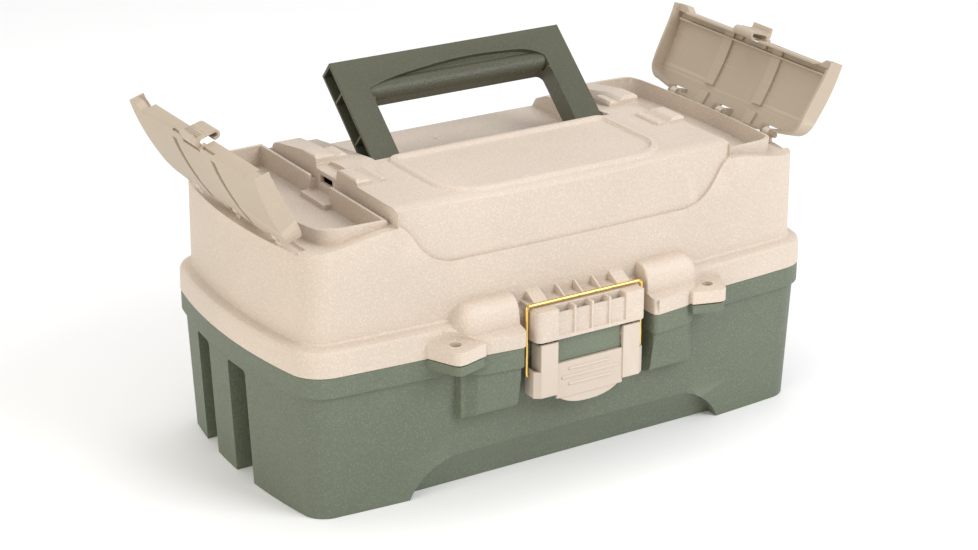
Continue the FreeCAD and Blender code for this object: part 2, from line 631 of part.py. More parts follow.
def door_closed():
    """Right-hand door as it lies when shut."""
    plan_solid = stack([(170, DOOR_INSET), (215, DOOR_INSET)])
    below_roof = along_y(door_roof() + [(200, 170), (DOOR_EDGE, 170)], -140, 140)
    ledge = along_y(shoulder_line(0.5) + [(230, 160), (MIDDLE_HALF, 160)], -140, 140)
    solid = plan_solid.common(below_roof).cut(ledge)
    # at the hinge end nothing hangs lower than the sweep round the hinge allows
    solid = solid.cut(box(184.0, 230, -77, 77, 170, DOOR_HINGE_Z - 3.0))
    room = stack([(170, DOOR_INSET + DOOR_WALL), (215, DOOR_INSET + DOOR_WALL)])
    room = room.common(along_y(door_roof(DOOR_WALL) + [(200, 170), (DOOR_EDGE, 170)],
                               -140, 140))
    room = room.common(box(FREE_EDGE + 1.8, 230, -140, 140, 170, 240))
    door = solid.cut(room)
    # between the tips of the side walls the free edge is set back
    door = door.cut(plan([(DOOR_EDGE - 1, -82), (FREE_EDGE, -76), (FREE_EDGE, 76),
                          (DOOR_EDGE - 1, 82)], 160, 240))
    # and it steps up over the ends of the bin's rim
    for side in SIDES.values():
        y0, y1 = sorted((side * 74.5, side * 90.2))
        door = door.cut(box(DOOR_EDGE - 1, FREE_EDGE + 1.8, y0, y1, 160, BIN_RIM + 0.8))
    ribs = []
    inside = along_y(door_roof(DOOR_WALL - 0.2) + [(200, 170), (DOOR_EDGE, 170)], -140, 140)
    inside = inside.common(plan_solid)
    ribs.append(box(140.0, 141.5, -86, 86, 193.4, 215).common(inside))
    # two long grooves pressed into the outside stand as ridges on the inside
    for y in GROOVES:
        for span in GROOVE_DEEP:
            start, end = span
            ribs.append(groove(y, 5.2, 0.9, 4.2, (start - 1.6, end + 1.6)).common(inside))
    # hinge bars between short cheeks
    for y in HOOK_PLACES:
        half = POCKET_WIDTH / 2
        door = door.cut(box(186.6, 200, y - half + 1.5, y + half - 1.5, 170, 215))
        for y0, y1 in ((y - half, y - half + 2), (y + half - 2, y + half)):
            cheek = box(186.4, 194.6, y0, y1, DOOR_HINGE_Z - 2.6, 200)
            ribs.append(cheek.common(inside))
        ribs.append(rod(V(DOOR_HINGE_X, y - half + 1, DOOR_HINGE_Z),
                        V(DOOR_HINGE_X, y + half - 1, DOOR_HINGE_Z), BAR_RADIUS))
        door = door.cut(box(183.6, 187.2, y - half + 1.5, y + half - 1.5, 170,
                            DOOR_HINGE_Z + 1.0))
    # seat in the free edge, with a cheek each side for the catch to turn in
    door = door.cut(box(DOOR_EDGE - 2, 137.0, -CATCH_SEAT, CATCH_SEAT, 185, 215))
    x, z = CATCH_PIVOT
    for side in SIDES.values():
        y0, y1 = sorted((side * CATCH_SEAT, side * (CATCH_SEAT + 2.4)))
        ribs.append(box(DOOR_EDGE + 1.6, 139.0, y0, y1, z - 2.8, 215).common(inside))
    door = fuse([door] + ribs)
    for y in GROOVES:
        for span in GROOVE_DEEP:
            door = door.cut(groove(y, 3.0, -3.0, 2.8, span))
        door = door.cut(groove(y, 3.0, -3.0, 1.0, (GROOVE_DEEP[0][0], GROOVE_DEEP[1][1])))
    return door.cut(rod(V(x, -30, z), V(x, 30, z), 1.0 + FIT))


def open_up(shape, side):
    """Turn a right-hand shut door piece to its open rest place on one end."""
    turned = shape.copy()
    turned.rotate(V(DOOR_HINGE_X, 0, DOOR_HINGE_Z), Y_AXIS, DOOR_OPEN[side])
    if SIDES[side] < 0:
        turned = turned.mirror(V(0, 0, 0), X_AXIS)
    return turned


def catch_closed():
    """Snap catch on a door's free edge: thumb lip, ribbed plate and curled end."""
    x, z = CATCH_PIVOT
    width = CATCH_SEAT - 0.6
    curl = (131.9, 185.6)

    def curl_arc(radius, start, end, count=8):
        turns = [math.radians(start + (end - start) * i / count) for i in range(count + 1)]
        return [(curl[0] + radius * math.cos(t), curl[1] + radius * math.sin(t)) for t in turns]

    face = [(x, 199.5), (130.0, 200.6), (125.0, 200.5), (124.4, 200.0), (124.6, 199.3),
            (127.8, 198.9), (128.6, 198.0), (128.6, 191.8), (128.3, 191.3), (128.3, 189.9),
            (128.6, 189.4)]
    back = [(135.2, 187.3), (133.4, 187.3)] + curl_arc(1.5, 360, 180) + [
        (130.4, 195.6), (131.6, 197.0), (x, 196.4)]
    body = along_y(face + curl_arc(3.3, 180, 360) + back, -width + 1.4, width - 1.4)
    ridges = [rod(V(128.6, -width + 3.0, h), V(128.6, width - 3.0, h), 0.35)
              for h in (193.2, 194.8, 196.4, 198.0)]
    barrel = rod(V(x, -width, z), V(x, width, z), 1.7)
    axle = rod(V(x, -width - 2.6, z), V(x, width + 2.6, z), 1.0)
    return fuse([body, barrel, axle] + ridges)


# ---------------------------------------------------------------- handle
def handle():
    leg_in = HANDLE_HALF - HANDLE_LEG
    half = HANDLE_THICK / 2
    low = -half
    frame = box(-HANDLE_HALF, HANDLE_HALF, -half, half, low, HANDLE_REACH)
    gap_top = HANDLE_REACH - GRIP_DEPTH
    gap = box(-leg_in, leg_in, -20, 20, low - 1, gap_top)
    upright = [e for e in gap.Edges if abs(e.Vertexes[0].Y - e.Vertexes[-1].Y) > 5
               and e.Vertexes[0].Z > 0]
    frame = frame.cut(gap.makeFillet(5.0, upright))
    # the front of the bar falls away to a round grip below an arched line
    arch = curve_points([(-leg_in, gap_top + 5.5), (-58, gap_top + 9.5), (-30, gap_top + 14.2),
                         (12, gap_top + 17.6), (44, gap_top + 16.4), (62, gap_top + 13.0),
                         (leg_in, gap_top + 7.5)])
    under = prism([V(x, -20, z) for x, z in arch + [(leg_in, gap_top - 1),
                                                    (-leg_in, gap_top - 1)]], V(0, 40, 0))
    round_grip = rod(V(-leg_in - 2, 0.3, gap_top + 7.4), V(leg_in + 2, 0.3, gap_top + 7.4), 7.4)
    upper = across([(-4.4, gap_top + 7), (8.5, gap_top + 7), (8.5, 100), (-4.4, 100)], -72, 72)
    grip = under.cut(round_grip.fuse(upper))
    frame = frame.cut(grip.common(box(-leg_in, leg_in, -20, 0, low, 100)))
    # open channels on the outside of the legs, with cross ribs
    ribs = [58.0, 24.0]
    for side in SIDES.values():
        x0, x1 = sorted((side * (leg_in + 2.2), side * (HANDLE_HALF + 5)))
        spans = [(STUB_RADIUS + 2.5, ribs[1]), (ribs[1] + 1.6, ribs[0]),
                 (ribs[0] + 1.6, HANDLE_REACH - 2.2)]
        for z0, z1 in spans:
            frame = frame.cut(box(x0, x1, -half + 2.2, half - 2.2, z0, z1))
    # round lower ends and the stub axles
    for side in SIDES.values():
        x0, x1 = sorted((side * (leg_in - 1), side * (HANDLE_HALF + 1)))
        ends = box(x0, x1, -20, 20, low - 1, 0).cut(rod(V(x0, 0, 0), V(x1, 0, 0), half))
        frame = frame.cut(ends)
    stubs = [rod(V(side * (leg_in + 1), 0, 0), V(side * (WELL_HALF + 2.2), 0, 0), STUB_RADIUS)
             for side in SIDES.values()]
    whole = fuse([frame] + stubs)
    whole.rotate(V(0, 0, 0), X_AXIS, -HANDLE_LEAN)
    whole.translate(HANDLE_PIVOT)
    return whole


# ---------------------------------------------------------------- latch
def latch_lever():
    face = -120.6
    pieces = []
    for side in SIDES.values():
        x0, x1 = sorted((side * 25.4, side * 38.6))
        pieces.append(box(x0, x1, face, face + 2.4, 61.5, 98.6))
        x0, x1 = sorted((side * 25.4, side * 27.4))
        pieces.append(box(x0, x1, face, -110.6, 84, 97.0))
        x0, x1 = sorted((side * 36.6, side * 38.6))
        pieces.append(box(x0, x1, face, -108.5, 61.5, 97.0))
        pieces.append(plan(mirrored([(38.4, face), (42.7, -117.5), (42.7, -107.5),
                                     (40.5, -107.5), (40.5, -116.5), (38.4, -118.2)], side),
                           61.5, 80.0))
        pieces.append(rod(V(side * 20.5, LEVER_PIVOT.y, LEVER_PIVOT.z),
                          V(side * 26.0, LEVER_PIVOT.y, LEVER_PIVOT.z), 2.5))
    pieces.append(box(-25.6, 25.6, face + 0.9, face + 3.2, 58.0, 83.0))
    tongue = curve_points([(-25.0, 59.6), (-17.0, 54.4), (0.0, 51.6), (17.0, 54.4),
                           (25.0, 59.6)])
    pieces.append(along_y(tongue, face + 1.9, face + 4.0))
    for x, z in ((16.5, 77.6), (22.0, 72.2), (16.5, 66.8)):
        pieces.append(rod(V(-x, face + 0.9, z), V(x, face + 0.9, z), 0.9))
    lever = fuse(pieces)
    holes = [rod(V(side * 38, BAIL_PIVOT.y, BAIL_PIVOT.z), V(side * 44, BAIL_PIVOT.y,
                 BAIL_PIVOT.z), WIRE_RADIUS + FIT) for side in SIDES.values()]
    return lever.cut(Part.makeCompound(holes))


def latch_bail():
    """One wire: a bar across, two legs, and ends turned in to the lever."""
    y = BAIL_PIVOT.y
    bend = 2.6
    low, high = BAIL_PIVOT.z, BAIL_TOP
    k = bend * (1 - math.sqrt(0.5))
    small = 1.7
    ks = small * (1 - math.sqrt(0.5))
    tip = 40.9
    right = [
        Part.LineSegment(V(0, y, high), V(BAIL_HALF - bend, y, high)),
        Part.Arc(V(BAIL_HALF - bend, y, high), V(BAIL_HALF - k, y, high - k),
                 V(BAIL_HALF, y, high - bend)),
        Part.LineSegment(V(BAIL_HALF, y, high - bend), V(BAIL_HALF, y, low + small)),
        Part.Arc(V(BAIL_HALF, y, low + small), V(BAIL_HALF - ks, y, low + ks),
                 V(BAIL_HALF - small, y, low)),
        Part.LineSegment(V(BAIL_HALF - small, y, low), V(tip, y, low)),
    ]
    path = Part.Wire([e.toShape() for e in right])
    ring = Part.Wire([Part.Circle(V(0, y, high), X_AXIS, WIRE_RADIUS).toShape()])
    half = path.makePipeShell([ring], True, False)
    other = half.mirror(V(0, 0, 0), X_AXIS)
    return half.fuse(other).removeSplitter()


# ---------------------------------------------------------------- trays
def tray(half, heights, walls_along, ribs_at):
    z0, z1 = heights
    body = rounded_plate(half, TRAY_FRONT, TRAY_BACK, z0, z1, 8.0)
    room = rounded_plate(half - TRAY_WALL, TRAY_FRONT + TRAY_WALL, TRAY_BACK - TRAY_WALL,
                       z0 + TRAY_WALL, z1 + 5, 6.5)
    shell = body.cut(room)
    pieces = [shell]
    for y in walls_along:
        pieces.append(box(-half + 1, half - 1, y - 0.8, y + 0.8, z0 + 1, z1 - 2))
    for x, y0, y1 in ribs_at:
        pieces.append(box(x - 0.8, x + 0.8, y0, y1, z0 + 1, z1 - 2))
    return pieces


def ear(half, points, side, pivot):
    """Raised lug of a tray's end wall, with the spacer boss round its pivot."""
    x0, x1 = sorted((side * (half - TRAY_WALL), side * half))
    y, z = pivot
    boss = rod(V(side * (half - TRAY_WALL), y, z), V(side * (ARM_PLANE[0] - 0.1), y, z), 4.5)
    return across(points, x0, x1).fuse(boss)


def lower_tray():
    ribs = [(x, -42, 1) for x in (-88, 88)] + [(0, TRAY_FRONT + 1, -42)]
    pieces = tray(LOWER_HALF, LOWER_TRAY, (-42.0, 2.0), ribs)
    top = LOWER_TRAY[1]
    front = arm_point("lower_front")
    rear = arm_point("lower")
    (fy, fz), (ry, rz) = front, rear
    for side in SIDES.values():
        pieces.append(ear(LOWER_HALF, [(fy - 8, top - 8), (fy + 8, top - 8), (fy + 5, fz + 4.5),
                                       (fy - 5, fz + 4.5)], side, front))
        pieces.append(ear(LOWER_HALF, [(20, top - 6), (TRAY_BACK - 8, 60), (TRAY_BACK, 62),
                                       (ry + 6, rz - 4), (ry + 4, rz + 5), (ry - 4, rz + 5),
                                       (TRAY_BACK - 8, top + 6)], side, rear))
    body = fuse(pieces)
    return body.cut(Part.makeCompound(rivet_holes(LOWER_HALF, ("lower", "lower_front"))))


def upper_tray():
    ribs = [(x, TRAY_FRONT + 1, -30) for x in (-57, 57)] + [(0, 8, TRAY_BACK - 1)]
    pieces = tray(UPPER_HALF, UPPER_TRAY, (-30.0, 8.0), ribs)
    top = UPPER_TRAY[1]
    for name in ("upper", "upper_front"):
        y, z = arm_point(name)
        for side in SIDES.values():
            points = [(y - 7, top - 8), (y + 7, top - 8), (y + 5, z + 4.5), (y - 5, z + 4.5)]
            pieces.append(ear(UPPER_HALF, points, side, (y, z)))
    body = fuse(pieces)
    return body.cut(Part.makeCompound(rivet_holes(UPPER_HALF, ("upper", "upper_front"))))


def rivet_holes(half, names):
    found = []
    for name in names:
        y, z = arm_point(name)
        found += [rod(V(side * (half - 8), y, z), V(side * (ARM_PLANE[0] + 1), y, z),
                      RIVET_RADIUS) for side in SIDES.values()]
    return found


def rivet(x_side, place, inner, tip, tail):
    """Rivet through a (y, z) place: head inside, shank out to tip, tail head or none."""
    y, z = place
    pieces = [rod(V(x_side * (inner - 1.4), y, z), V(x_side * inner, y, z), 3.6),
              rod(V(x_side * inner, y, z), V(x_side * tip, y, z), RIVET_RADIUS)]
    if tail:
        pieces.append(rod(V(x_side * tip, y, z), V(x_side * (tip + 1.2), y, z), 3.4))
    return fuse(pieces)


def tray_rivets(half, kind):
    """Four rivets that join one tray to both pairs of arms."""
    return Part.makeCompound([
        rivet(side, arm_point(name), half - TRAY_WALL, ARM_PLANE[1] + 0.1, True)
        for side in SIDES.values() for name in (kind, kind + "_front")])


def base_rivets():
    return Part.makeCompound([
        rivet(side, arm_point("base"), ARM_PLANE[0] - 0.1, ARM_PLANE[1] + 6, False)
        for side in SIDES.values()])


def lid_arm_rivets():
    return Part.makeCompound([
        rivet(side, along_arm(reach), ARM_PLANE[0], ARM_PLANE[1] + 6, False)
        for side in SIDES.values() for reach, wall_x in LID_BOSSES])


def flat_link(side, start, end, holes):
    """Flat bar between two (y, z) places, with (place, radius) holes."""
    start, end = V(0, *start), V(0, *end)
    half = ARM_WIDTH / 2
    lean = (end - start).normalize()
    out = V(0, -lean.z, lean.y).multiply(half)
    x0, x1 = sorted((side * ARM_PLANE[0], side * ARM_PLANE[1]))
    corners = [start + out, end + out, end - out, start - out]
    bar = across([(p.y, p.z) for p in corners], x0, x1)
    ends = [rod(V(x0, p.y, p.z), V(x1, p.y, p.z), half) for p in (start, end)]
    bores = [rod(V(x0 - 1, y, z), V(x1 + 1, y, z), radius) for (y, z), radius in holes]
    return fuse([bar] + ends).cut(Part.makeCompound(bores))


def tray_arm(side):
    """Front link: turns on the base and carries both trays."""
    places = [arm_point(name) for name in ("base", "lower_front", "upper_front")]
    return flat_link(side, places[0], places[2], [(p, RIVET_RADIUS + FIT) for p in places])


def lid_arm(side):
    """Rear link: riveted to the lid, carries both trays."""
    pivots = [(arm_point(name), RIVET_RADIUS + FIT) for name in ("lower", "upper")]
    fixed = [(along_arm(reach), RIVET_RADIUS) for reach, wall_x in LID_BOSSES]
    return flat_link(side, pivots[0][0], pivots[1][0], pivots + fixed)


def dividers(heights, rows):
    """Loose cross walls standing in the trays; rows are (y0, y1, x places)."""
    z0, z1 = heights
    plates = []
    for y0, y1, places in rows:
        plates += [box(x - 0.7, x + 0.7, y0, y1, z0 + TRAY_WALL, z1 - 3) for x in places]
    return Part.makeCompound(plates)


UPPER_ROWS = ((-87.8, -31.2, (0,)), (-28.8, 6.8, (-60, 60)), (9.2, 43.9, (-90, 90)))
LOWER_ROWS = ((-87.8, -43.2, (-90, 90)),)


def main():
    os.makedirs("parts", exist_ok=True)
    export("base_tub", base_tub())
    export("lid_hinge_pins", lid_hinge_pins())
    export("lid_shell", lid_shell())
    shut_door = door_closed()
    shut_catch = catch_closed()
    for side in SIDES:
        export(side + "_door", open_up(shut_door, side))
        export(side + "_door_catch", open_up(shut_catch, side))
        export(side + "_tray_arm", tray_arm(SIDES[side]))
        export(side + "_lid_arm", lid_arm(SIDES[side]))
    export("handle", handle())
    export("latch_lever", latch_lever())
    export("latch_bail", latch_bail())
    export("lower_tray", lower_tray())
    export("upper_tray", upper_tray())
    export("lower_tray_dividers", dividers(LOWER_TRAY, LOWER_ROWS))
    export("upper_tray_dividers", dividers(UPPER_TRAY, UPPER_ROWS))
    export("lower_tray_rivets", tray_rivets(LOWER_HALF, "lower"))
    export("upper_tray_rivets", tray_rivets(UPPER_HALF, "upper"))
    export("base_rivets", base_rivets())
    export("lid_arm_rivets", lid_arm_rivets())


main()
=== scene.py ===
import heapq
import json
import math

import bmesh
import bpy
import numpy as np
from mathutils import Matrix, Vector
from mathutils.bvhtree import BVHTree
from mathutils.kdtree import KDTree


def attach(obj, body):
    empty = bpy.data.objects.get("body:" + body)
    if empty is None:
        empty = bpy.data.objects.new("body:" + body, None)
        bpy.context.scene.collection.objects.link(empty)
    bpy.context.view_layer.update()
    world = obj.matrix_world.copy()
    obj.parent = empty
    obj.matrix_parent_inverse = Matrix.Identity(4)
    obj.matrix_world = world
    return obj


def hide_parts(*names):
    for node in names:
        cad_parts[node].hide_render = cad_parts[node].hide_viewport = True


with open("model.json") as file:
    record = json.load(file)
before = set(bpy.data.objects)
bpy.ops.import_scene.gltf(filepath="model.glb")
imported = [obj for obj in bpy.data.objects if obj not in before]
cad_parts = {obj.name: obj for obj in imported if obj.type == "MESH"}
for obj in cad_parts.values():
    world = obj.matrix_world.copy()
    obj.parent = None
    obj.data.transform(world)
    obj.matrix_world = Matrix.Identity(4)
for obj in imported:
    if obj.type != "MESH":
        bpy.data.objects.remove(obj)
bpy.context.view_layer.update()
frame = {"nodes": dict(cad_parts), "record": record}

# Looks of the fishing tackle box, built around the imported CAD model.
# Lengths are metres in the row frame; mm() turns millimetres into metres.

BODY_OF = {node: body for body, nodes in frame["record"]["behaviour"]["bodies"].items()
           for node in nodes}


def mm(value):
    return value * 0.001


# ---------------------------------------------------------------- materials
DRIFT_SCALE = 9.0       # slow colour changes per metre
DRAWING_SCALE = 260.0   # drawing marks per metre


def node_tree(name):
    """A new material with its node tree and main shader."""
    material = bpy.data.materials.new(name)
    material.use_nodes = True
    tree = material.node_tree
    shader = tree.nodes["Principled BSDF"]
    return material, tree, shader


def link(tree, source, output, target, entry):
    """Join an output of one node to an entry of another."""
    tree.links.new(source.outputs[output], target.inputs[entry])


def ramp(tree, low, high, start, end):
    """Colour ramp node between two colours."""
    node = tree.nodes.new("ShaderNodeValToRGB")
    node.color_ramp.elements[0].position = start
    node.color_ramp.elements[0].color = (*low, 1)
    node.color_ramp.elements[1].position = end
    node.color_ramp.elements[1].color = (*high, 1)
    return node


def scaled(colour, factor):
    return [min(1.0, channel * factor) for channel in colour]


def noise(tree, place, scale, detail):
    """Noise texture node; scale is in cells per metre."""
    node = tree.nodes.new("ShaderNodeTexNoise")
    node.inputs["Scale"].default_value = scale
    node.inputs["Detail"].default_value = detail
    link(tree, place, "Object", node, "Vector")
    return node


def blend(tree, kind, factor, first, second):
    """Colour mix node; factor, first and second are (node, output) pairs or values."""
    node = tree.nodes.new("ShaderNodeMix")
    node.data_type = "RGBA"
    node.blend_type = kind
    for entry, value in (("Factor", factor), ("A", first), ("B", second)):
        if isinstance(value, tuple) and hasattr(value[0], "outputs"):
            link(tree, value[0], value[1], node, entry)
        elif entry == "Factor":
            node.inputs[entry].default_value = value
        else:
            node.inputs[entry].default_value = (*value, 1)
    return node


def plastic(name, colour, rough, grain_size, grain_depth, speckle=0.10, spec=0.35):
    """Moulded plastic: slow colour drift, leather-like grain, sharp outer edges painted paler as a
    painted highlight.
    """
    material, tree, shader = node_tree(name)
    make = tree.nodes.new
    place = make("ShaderNodeTexCoord")
    drift = noise(tree, place, DRIFT_SCALE, 3.0)
    tint = ramp(tree, scaled(colour, 0.96), scaled(colour, 1.04), 0.35, 0.65)
    link(tree, drift, "Fac", tint, "Fac")
    cells = make("ShaderNodeTexVoronoi")
    cells.feature = "SMOOTH_F1"
    cells.inputs["Scale"].default_value = 1.0 / mm(grain_size)
    cells.inputs["Smoothness"].default_value = 0.5
    link(tree, place, "Object", cells, "Vector")
    fine = noise(tree, place, 1.1 / mm(grain_size), 2.0)
    both = make("ShaderNodeMath")
    both.operation = "SUBTRACT"
    link(tree, fine, "Fac", both, 0)
    link(tree, cells, "Distance", both, 1)
    valleys = ramp(tree, (1 - speckle,) * 3, (1 + speckle / 2,) * 3, 0.0, 0.55)
    link(tree, both, "Value", valleys, "Fac")
    grained = blend(tree, "MULTIPLY", 1.0, (tint, "Color"), (valleys, "Color"))
    # Painted highlight: sharp outer edges, found by pointiness, are mixed towards a paler colour.
    geometry = make("ShaderNodeNewGeometry")
    edge = make("ShaderNodeMapRange")
    edge.inputs["From Min"].default_value = 0.52
    edge.inputs["From Max"].default_value = 0.62
    edge.inputs["To Max"].default_value = 0.45
    link(tree, geometry, "Pointiness", edge, "Value")
    painted_edge_highlight = blend(tree, "MIX", (edge, "Result"), (grained, "Result"), scaled(colour, 1.3))
    link(tree, painted_edge_highlight, "Result", shader, "Base Color")
    bump = make("ShaderNodeBump")
    bump.inputs["Strength"].default_value = 1.0
    bump.inputs["Distance"].default_value = mm(grain_depth)
    link(tree, both, "Value", bump, "Height")
    link(tree, bump, "Normal", shader, "Normal")
    sheen = make("ShaderNodeMapRange")
    sheen.inputs["To Min"].default_value = rough - 0.06
    sheen.inputs["To Max"].default_value = rough + 0.08
    link(tree, drift, "Fac", sheen, "Value")
    link(tree, sheen, "Result", shader, "Roughness")
    shader.inputs["Specular IOR Level"].default_value = spec
    return material


def metal(name, colour, rough, scratch):
    """Plated or drawn metal with fine drawing marks."""
    material, tree, shader = node_tree(name)
    place = tree.nodes.new("ShaderNodeTexCoord")
    marks = noise(tree, place, DRAWING_SCALE, 4.0)
    tint = ramp(tree, scaled(colour, 0.8), colour, 0.0, 1.0)
    link(tree, marks, "Fac", tint, "Fac")
    link(tree, tint, "Color", shader, "Base Color")
    polish = tree.nodes.new("ShaderNodeMapRange")
    polish.inputs["To Min"].default_value = rough
    polish.inputs["To Max"].default_value = rough + scratch
    link(tree, marks, "Fac", polish, "Value")
    link(tree, polish, "Result", shader, "Roughness")
    shader.inputs["Metallic"].default_value = 1.0
    return material


CREAM = (0.625, 0.530, 0.440)
GREEN = (0.150, 0.174, 0.124)
# Lid cream darkened as painted shade: the doors are the same cream plastic, and this darker copy
# stands for the shade on their inner faces.
DOOR_CREAM_IN_PAINTED_SHADE = (0.44, 0.365, 0.28)
OLIVE = (0.083, 0.084, 0.054)
MATERIALS = {
    "green_shell": plastic("green_shell", GREEN, 0.50, 1.5, 0.24, 0.20),
    "cream_shell": plastic("cream_shell", CREAM, 0.50, 1.5, 0.20, 0.11),
    # The door and door-catch slots take the cream in painted shade.
    "tan_door": plastic("tan_door", DOOR_CREAM_IN_PAINTED_SHADE, 0.48, 1.6, 0.05, 0.03),
    "tan_catch": plastic("tan_catch", DOOR_CREAM_IN_PAINTED_SHADE, 0.45, 1.2, 0.03, 0.03),
    "olive_handle": plastic("olive_handle", OLIVE, 0.40, 1.4, 0.22, 0.16),
    "cream_lever": plastic("cream_lever", scaled(CREAM, 0.88), 0.45, 1.2, 0.03, 0.03),
    "brass_wire": metal("brass_wire", (0.85, 0.60, 0.18), 0.10, 0.06),
    "tray_plastic": plastic("tray_plastic", scaled(CREAM, 0.92), 0.40, 1.5, 0.03, 0.03),
    "divider_plastic": plastic("divider_plastic", scaled(CREAM, 0.98), 0.40, 1.5, 0.03, 0.03),
    "arm_plastic": plastic("arm_plastic", GREEN, 0.45, 1.2, 0.04, 0.06),
    "steel_pin": metal("steel_pin", (0.60, 0.60, 0.58), 0.28, 0.2),
    "rivet_metal": metal("rivet_metal", (0.66, 0.66, 0.65), 0.30, 0.2),
}


# ---------------------------------------------------------------- roundness
SHARP_SHADING = 32      # degrees between faces above which shading has an edge
SHARP_EDGE = 28         # degrees between faces above which an edge is rounded
FLAT = 0.1              # degrees within which neighbouring triangles are one face
SAME_PLACE = 1e-6       # metres within which two corners are one
BEVEL_STEPS = 2         # faces across a rounded edge
SAME_LINE = 0.9         # cosine beyond which two sharp edges count as one run
BEVEL_SHARE = 0.42      # share of a neighbouring edge that one bevel may take
SAMPLE_STEP = mm(1.0)   # how far inside a corner the surface is compared
LEAST_AREA = 5e-8       # square metres; smaller triangles are left out of the comparison
FACING = -0.2           # cosine below which two faces count as opposed
FLAW_REACH = mm(2.5)    # edges this near a torn place get less rounding
FLAW_SHARE = 0.3        # what is left of their rounding after each try
TRIES = 4               # most times that a piece is rounded afresh


# ---------------------------------------------------------------- mesh helpers
def add_piece(name, mesh, body, slot, nodes=()):
    """A piece that rides on a body, and stands in for the CAD nodes it is given."""
    piece = bpy.data.objects.new(name, mesh)
    bpy.context.scene.collection.objects.link(piece)
    mesh.materials.clear()
    mesh.materials.append(MATERIALS[slot])
    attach(piece, body)
    if nodes:
        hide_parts(*nodes)
    return piece


def smooth(mesh):
    """Smooth shading, except over sharp edges."""
    mesh.polygons.foreach_set("use_smooth", [True] * len(mesh.polygons))
    mesh.set_sharp_from_angle(angle=math.radians(SHARP_SHADING))
    mesh.update()


def apply_modifiers(piece):
    """Turn a piece's modifiers into plain mesh."""
    depsgraph = bpy.context.evaluated_depsgraph_get()
    final = bpy.data.meshes.new_from_object(piece.evaluated_get(depsgraph))
    old = piece.data
    piece.modifiers.clear()
    piece.data = final
    bpy.data.meshes.remove(old)
    return piece


def point_to_segments(points, starts, ends):
    """Distance of each point to each segment, as a table."""
    along = ends - starts
    square = np.maximum((along * along).sum(axis=1), 1e-18)
    offset = points[:, None, :] - starts[None, :, :]
    share = np.clip((offset * along[None, :, :]).sum(axis=2) / square, 0.0, 1.0)
    return np.linalg.norm(offset - share[:, :, None] * along[None, :, :], axis=2)


def face_room(bm):
    """For each edge, how near any edge that it doesn't touch comes within a face."""
    room = {}
    for face in bm.faces:
        count = len(face.edges)
        if count < 4:
            continue
        loops = list(face.loops)
        starts = np.array([loop.vert.co for loop in loops])
        ends = np.array([loop.link_loop_next.vert.co for loop in loops])
        middles = (starts + ends) / 2
        gap = np.minimum(point_to_segments(starts, starts, ends),
                         point_to_segments(middles, starts, ends))
        gap = np.minimum(gap, point_to_segments(ends, starts, ends))
        gap = np.minimum(gap, gap.T)
        rows = np.arange(count)
        for step in (-1, 0, 1):
            gap[rows, (rows + step) % count] = np.inf
        for loop, nearest in zip(loops, gap.min(axis=1)):
            room[loop.edge] = min(room.get(loop.edge, np.inf), float(nearest))
    return room


def set_roundness(bm, width, flaws):
    """Give each sharp edge a bevel weight that the edges around it leave room for.

    Each table of flaws holds places where an earlier try tore, so edges there get less.
    """
    weight = bm.edges.layers.float.new("bevel_weight_edge")
    apart = face_room(bm)
    sharp = {edge for edge in bm.edges
             if len(edge.link_faces) == 2 and edge.calc_face_angle(0.0) > math.radians(SHARP_EDGE)}
    room = {}
    runs = {}
    for edge in sharp:
        free = min(width, BEVEL_SHARE * apart.get(edge, width))
        for corner in edge.verts:
            along = (edge.other_vert(corner).co - corner.co).normalized()
            for other in corner.link_edges:
                if other is edge:
                    continue
                lean = (other.other_vert(corner).co - corner.co).normalized().dot(along)
                across = math.sqrt(max(0.0, 1.0 - lean * lean))
                if lean < -SAME_LINE and other in sharp:
                    step = min(edge.calc_length(), other.calc_length()) * across
                    runs.setdefault(edge, []).append((other, BEVEL_SHARE * step))
                else:
                    free = min(free, BEVEL_SHARE * other.calc_length() * across)
        for table in flaws:
            if min(table.find(corner.co)[2] for corner in edge.verts) < FLAW_REACH:
                free *= FLAW_SHARE
        room[edge] = free
    even_out(room, runs)
    for edge, free in room.items():
        edge[weight] = free / width


def even_out(room, runs):
    """Let the rounding change only slowly along a run, so that no two roundings cross."""
    order = list(room)
    place = {edge: index for index, edge in enumerate(order)}
    queue = [(room[edge], place[edge]) for edge in order]
    heapq.heapify(queue)
    while queue:
        free, index = heapq.heappop(queue)
        for other, step in runs.get(order[index], ()):
            if room[other] > free + step:
                room[other] = free + step
                heapq.heappush(queue, (room[other], place[other]))


def surface_tree(mesh):
    """Search tree over a mesh's triangles, and sample points just inside their corners."""
    mesh.calc_loop_triangles()
    places = [vertex.co.copy() for vertex in mesh.vertices]
    faces = [tuple(triangle.vertices) for triangle in mesh.loop_triangles]
    samples = []
    for triangle in mesh.loop_triangles:
        if triangle.area < LEAST_AREA:
            continue
        corners = [places[index] for index in triangle.vertices]
        middle = (corners[0] + corners[1] + corners[2]) / 3
        samples.append((middle, triangle.normal.copy(), corners))
        for corner in corners:
            inward = middle - corner
            if inward.length > SAMPLE_STEP:
                near = corner + inward * (SAMPLE_STEP / inward.length)
                samples.append((near, triangle.normal.copy(), [near]))
    return BVHTree.FromPolygons(places, faces), samples


def flaws_between(source, result, reach):
    """Places where a rounded mesh leaves its source, faces the wrong way or has a hole."""
    source_tree, source_samples = surface_tree(source)
    result_tree, result_samples = surface_tree(result)
    places = []
    for tree, samples in ((source_tree, result_samples), (result_tree, source_samples)):
        for middle, normal, corners in samples:
            _, facing, _, distance = tree.find_nearest(middle)
            if distance > reach or facing.dot(normal) < FACING:
                places.extend(corners)
    table = KDTree(max(1, len(places)))
    for index, place in enumerate(places):
        table.insert(place, index)
    table.balance()
    return table, len(places)


